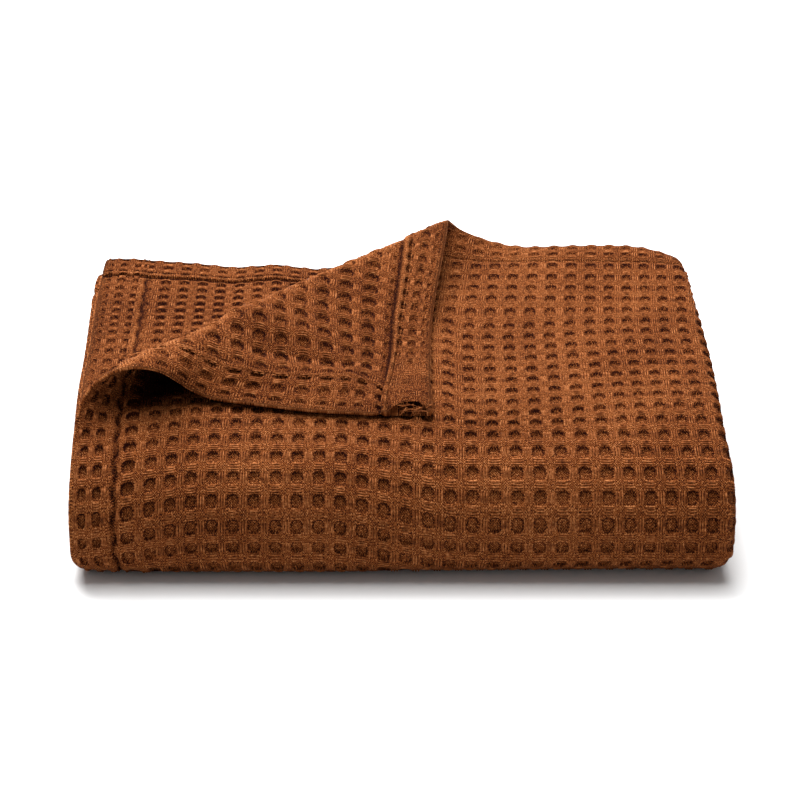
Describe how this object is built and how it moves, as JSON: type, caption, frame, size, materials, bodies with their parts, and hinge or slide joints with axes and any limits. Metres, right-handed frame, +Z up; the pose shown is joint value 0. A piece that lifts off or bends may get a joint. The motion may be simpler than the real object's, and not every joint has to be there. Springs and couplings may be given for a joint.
{
  "type": "waffle weave cotton blanket, folded",
  "caption": "Rust brown waffle weave cotton throw blanket, folded into a thick soft stack with its hemmed corner turned back on top.",
  "frame": {"origin": "on the surface that the stack rests on, under the middle of its bounding box", "axes": "+Z up, -Y towards the folded nose at the front, +X to the right as seen from the front"},
  "size_m": [0.3628, 0.2734, 0.0999],
  "materials": {
    "cotton": "matte, soft woven cotton with a raised waffle grid"
  },
  "bodies": {
    "root": {"blanket": "cotton"}
  },
  "joints": []
}
